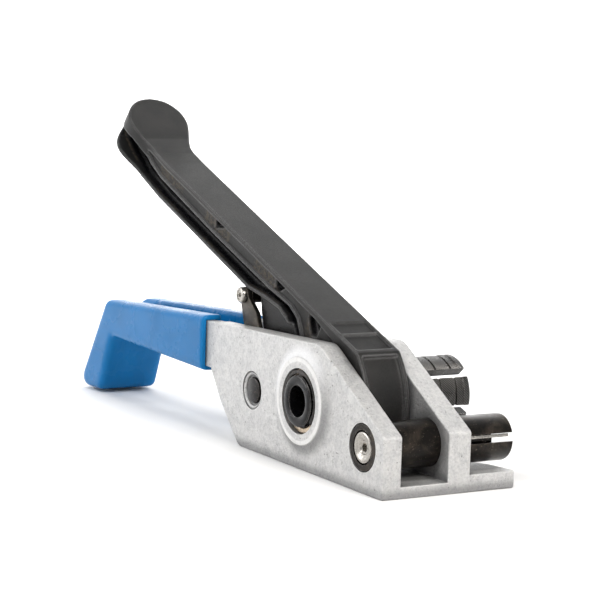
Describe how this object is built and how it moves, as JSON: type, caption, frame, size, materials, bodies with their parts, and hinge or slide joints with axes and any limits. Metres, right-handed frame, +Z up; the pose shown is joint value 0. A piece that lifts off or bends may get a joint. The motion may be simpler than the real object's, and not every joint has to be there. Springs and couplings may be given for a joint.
{
  "type": "strapping tensioner",
  "caption": "Hand strapping tensioner: cast frame with a dipped grip, a ratchet lever, a split windlass drum and a slotted cutter shaft.",
  "frame": {"origin": "on the underside, straight below the front shaft's axis, midway between the two cheeks", "axes": "+X towards the front of the tool, +Y towards the side the split shafts stand out of, +Z up"},
  "size_m": [0.2936, 0.0792, 0.1539],
  "materials": {
    "cast_aluminium": "tumbled casting",
    "blue_vinyl": "gloss dip",
    "black_coating": "satin",
    "oxide_steel": "black oxide",
    "bright_steel": "bright",
    "bronze_bush": "machined"
  },
  "bodies": {
    "frame": {"frame_casting": "cast_aluminium", "grip_sleeve": "blue_vinyl", "near_bush": "bronze_bush", "far_bush": "bronze_bush", "holding_pawl_pin": "oxide_steel", "holding_pawl_spring": "bright_steel", "front_shaft": "oxide_steel", "cutter_blade": "bright_steel"},
    "windlass_set": {"windlass": "oxide_steel", "ratchet_wheel": "oxide_steel", "wheel_key": "bright_steel", "axle_clip": "oxide_steel", "thrust_washer": "bright_steel"},
    "lever_set": {"lever": "black_coating", "drive_pawl_pin": "bright_steel", "drive_pawl_spring": "bright_steel"},
    "drive_pawl_set": {"drive_pawl": "oxide_steel"},
    "holding_pawl_set": {"holding_pawl": "oxide_steel", "release_bolt": "bright_steel", "release_nut": "bright_steel"},
    "roller": {"release_roller": "oxide_steel"},
    "cutter_set": {"cutter_core": "oxide_steel", "cutter_screw": "bright_steel"}
  },
  "joints": [
    {"name": "lever_swing", "type": "hinge", "parent": "frame", "child": "lever_set", "pos_m": [-0.049, 0, 0.03], "axis": [0, 1, 0], "range_deg": [0, 45]},
    {"name": "windlass_spin", "type": "hinge", "parent": "frame", "child": "windlass_set", "pos_m": [-0.049, 0, 0.03], "axis": [0, 1, 0], "continuous": true},
    {"name": "drive_pawl_tilt", "type": "hinge", "parent": "lever_set", "child": "drive_pawl_set", "pos_m": [-0.088, 0, 0.0505], "axis": [0, 1, 0], "range_deg": [0, 8], "stiffness_Nm_per_rad": 0.1, "springref_deg": -20.05},
    {"name": "holding_pawl_tilt", "type": "hinge", "parent": "frame", "child": "holding_pawl_set", "pos_m": [-0.094, 0, 0.0274], "axis": [0, -1, 0], "range_deg": [0, 6], "stiffness_Nm_per_rad": 0.3, "springref_deg": -22.92},
    {"name": "release_roller_spin", "type": "hinge", "parent": "holding_pawl_set", "child": "roller", "pos_m": [-0.1217, 0, 0.0669], "axis": [0, 1, 0], "continuous": true},
    {"name": "cutter_turn", "type": "hinge", "parent": "frame", "child": "cutter_set", "pos_m": [0, 0, 0.0189], "axis": [0, 1, 0], "range_deg": [0, 60], "stiffness_Nm_per_rad": 0.1, "springref_deg": -11.46}
  ]
}
